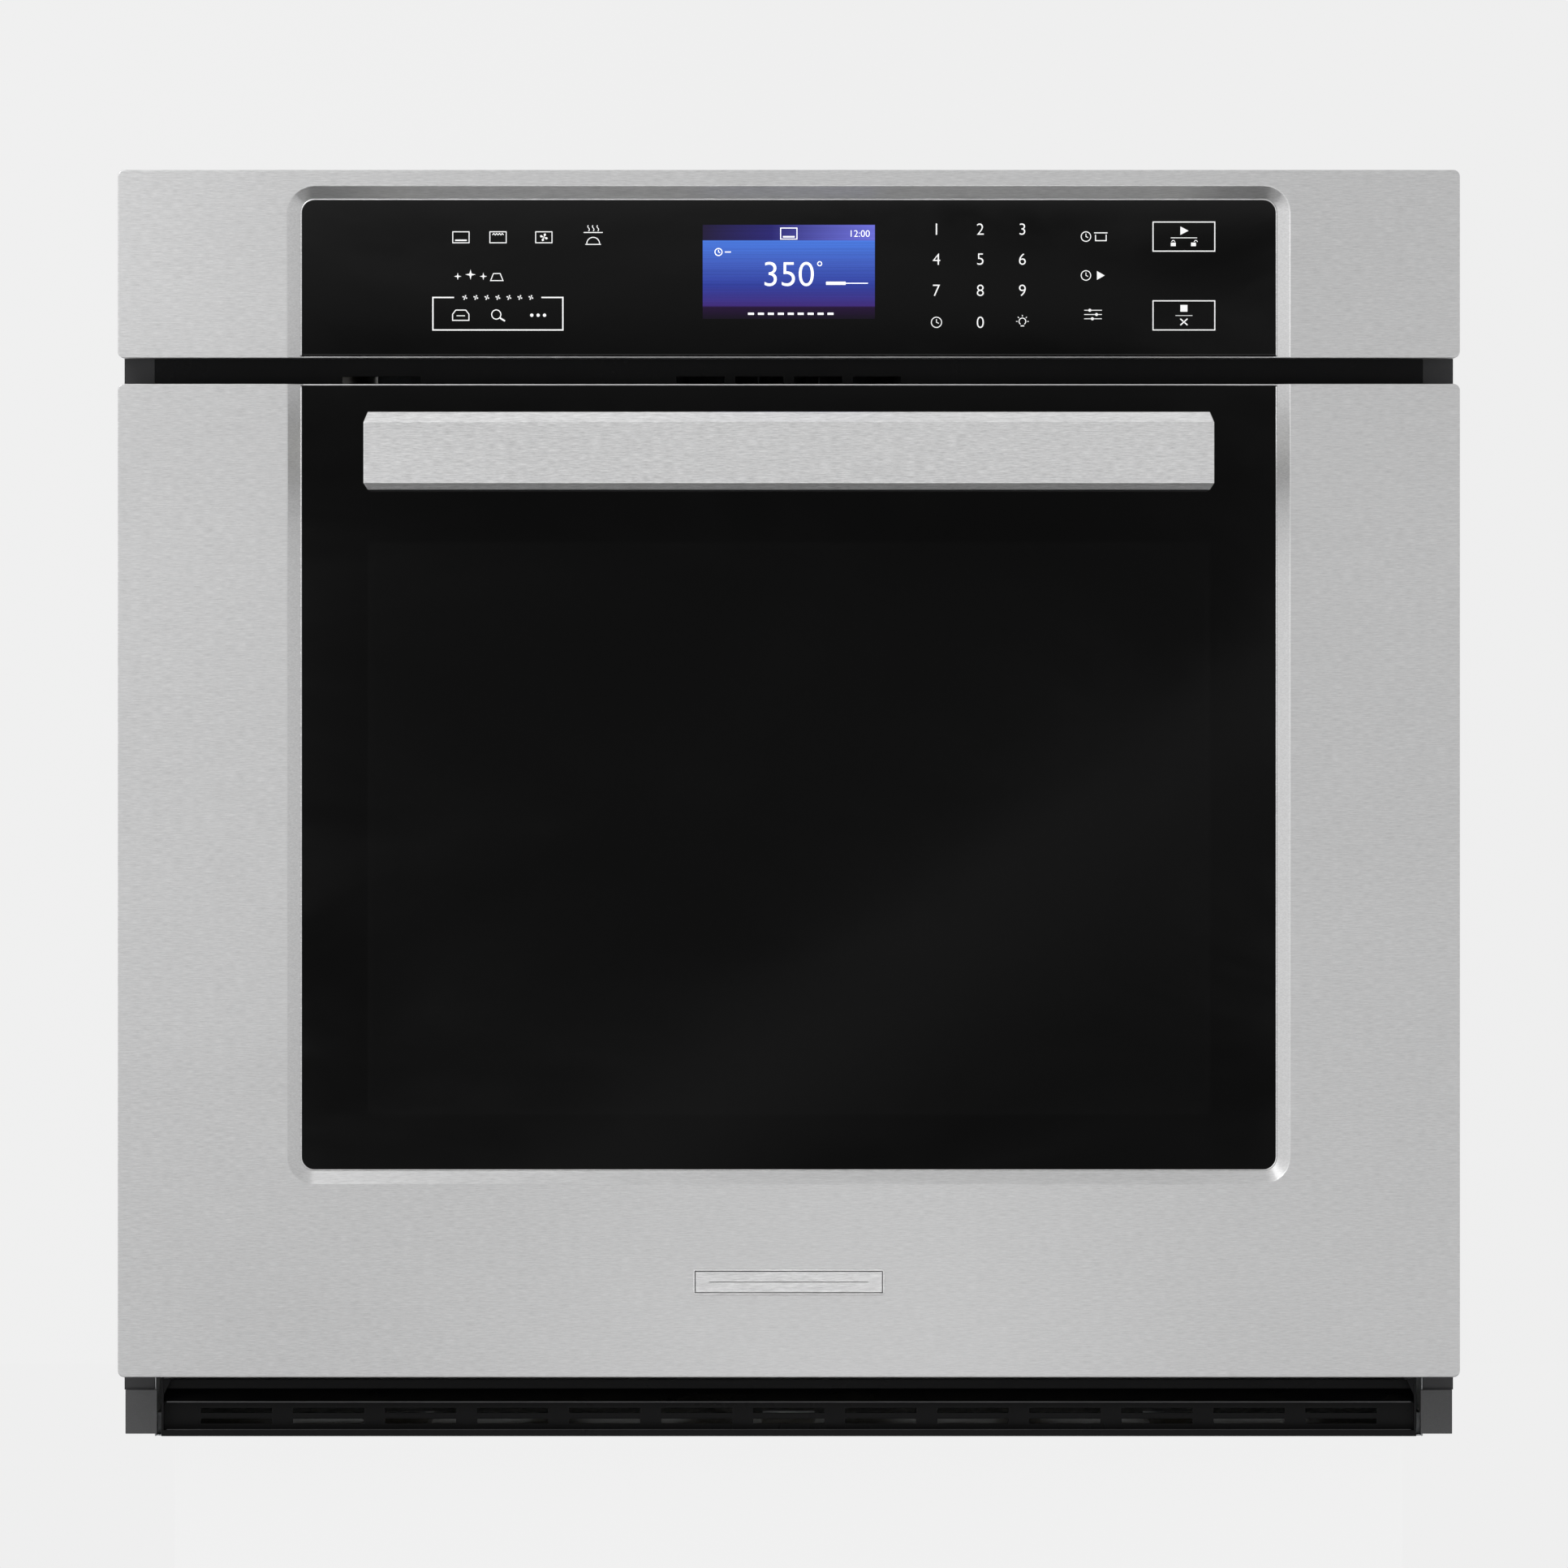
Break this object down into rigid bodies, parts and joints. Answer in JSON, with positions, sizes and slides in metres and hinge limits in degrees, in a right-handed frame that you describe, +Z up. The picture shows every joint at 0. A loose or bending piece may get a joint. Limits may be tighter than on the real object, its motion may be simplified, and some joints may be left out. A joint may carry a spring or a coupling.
{
  "type": "wall oven",
  "caption": "Built-in single wall oven with a drop-down glass door, a wide flat handle, a touch control panel, wire racks and a vent strip below the door.",
  "frame": {"origin": "middle of the underside, at the plane of the cabinet's face, where the side trims' rear faces lie", "axes": "+X to the right seen from the front, +Y back into the cabinet, +Z up"},
  "size_m": [0.756, 0.693, 0.714],
  "materials": {
    "stainless": "brushed, horizontal grain",
    "handle_steel": "brushed, fine grain",
    "black_glass": "polished black glass",
    "clear_glass": "clear heat-resisting glass",
    "lamp_glass": "ribbed clear glass",
    "enamel": "speckled dark enamel",
    "dark_steel": "satin black",
    "trim_steel": "satin dark grey",
    "galvanised": "spangled zinc",
    "cap_grey": "satin grey",
    "plated_steel": "zinc plated",
    "chrome_wire": "bright plated wire",
    "element_sheath": "oxidised sheath",
    "aluminium": "cast and stamped",
    "wool": "glass wool",
    "braid": "woven glass braid",
    "board": "circuit board",
    "black_plastic": "moulded",
    "ivory_plastic": "moulded",
    "ceramic": "glazed"
  },
  "bodies": {
    "root": {"front_frame": "dark_steel", "side_trim_left": "trim_steel", "side_trim_right": "trim_steel", "side_panel_left": "galvanised", "side_panel_right": "galvanised", "rear_panel": "galvanised", "top_panel": "galvanised", "base_pan": "galvanised", "cavity_liner": "enamel", "insulation_blanket": "wool", "door_gasket": "braid", "rack_guide_left": "chrome_wire", "rack_guide_right": "chrome_wire", "fan_cover": "enamel", "convection_element": "element_sheath", "convection_motor": "plated_steel", "bake_element": "element_sheath", "broil_element": "element_sheath", "temperature_probe": "plated_steel", "lamp_housings": "plated_steel", "lamp_lenses": "lamp_glass", "lamp_bulbs": "ceramic", "blower_housing": "galvanised", "blower_motor": "plated_steel", "duct_deck": "galvanised", "vent_louvre": "dark_steel", "vent_caps": "cap_grey", "control_fascia": "stainless", "control_glass": "black_glass", "display_module": "board", "control_housing": "galvanised", "power_board": "board", "junction_box": "galvanised", "junction_cover": "galvanised", "latch_base": "plated_steel", "latch_motor": "plated_steel", "switch_body": "ivory_plastic", "hinge_receivers": "plated_steel", "hinge_arms": "plated_steel", "chassis_screws": "plated_steel"},
    "door": {"door_skin": "stainless", "door_glass": "black_glass", "door_liner": "enamel", "inner_glass_pack": "clear_glass", "door_insulation": "wool", "door_top_trim": "dark_steel", "handle_bar": "handle_steel", "handle_mounts": "plated_steel", "hinge_channels": "plated_steel", "hinge_pins": "plated_steel", "hinge_springs": "plated_steel", "badge_plate": "handle_steel", "door_screws": "plated_steel"},
    "spring_rods": {"spring_rods": "plated_steel"},
    "rack_upper": {"rack_upper": "chrome_wire"},
    "rack_lower": {"rack_lower": "chrome_wire"},
    "convection_fan": {"convection_fan": "aluminium"},
    "blower_wheel": {"blower_wheel": "galvanised"},
    "latch_hook": {"latch_hook": "plated_steel"},
    "switch_plunger": {"switch_plunger": "black_plastic"}
  },
  "joints": [
    {"name": "door_hinge", "type": "hinge", "parent": "root", "child": "door", "pos_m": [0, -0.02, 0.044], "axis": [1, 0, 0], "range_deg": [0, 90], "stiffness_Nm_per_rad": 16, "springref_deg": -31.51},
    {"name": "spring_rod_slide", "type": "slide", "parent": "door", "child": "spring_rods", "axis": [0, 0, -1], "range_m": [0, 0.016], "deforming": ["hinge_springs"]},
    {"name": "rack_upper_slide", "type": "slide", "parent": "root", "child": "rack_upper", "axis": [0, -1, 0], "range_m": [0, 0.33]},
    {"name": "rack_lower_slide", "type": "slide", "parent": "root", "child": "rack_lower", "axis": [0, -1, 0], "range_m": [0, 0.25]},
    {"name": "switch_plunger_slide", "type": "slide", "parent": "root", "child": "switch_plunger", "axis": [0, -1, 0], "range_m": [0, 0.006]},
    {"name": "latch_swing", "type": "hinge", "parent": "root", "child": "latch_hook", "pos_m": [-0.243, 0.018, 0.5835], "axis": [0, 0, -1], "range_deg": [0, 90]},
    {"name": "convection_fan_spin", "type": "hinge", "parent": "root", "child": "convection_fan", "pos_m": [0, 0.48, 0.302], "axis": [0, -1, 0], "continuous": true},
    {"name": "cooling_blower_spin", "type": "hinge", "parent": "root", "child": "blower_wheel", "pos_m": [0, 0.26, 0.6], "axis": [0, 0, 1], "continuous": true}
  ],
  "couplings": [
    {"joint": "spring_rod_slide", "follows": "door_hinge", "m_per_rad": 0.010122},
    {"joint": "rack_upper_slide", "follows": "door_hinge", "m_per_rad": 0.21002},
    {"joint": "rack_lower_slide", "follows": "door_hinge", "m_per_rad": 0.15909},
    {"joint": "switch_plunger_slide", "follows": "door_hinge", "m_per_rad": 0.003756}
  ]
}
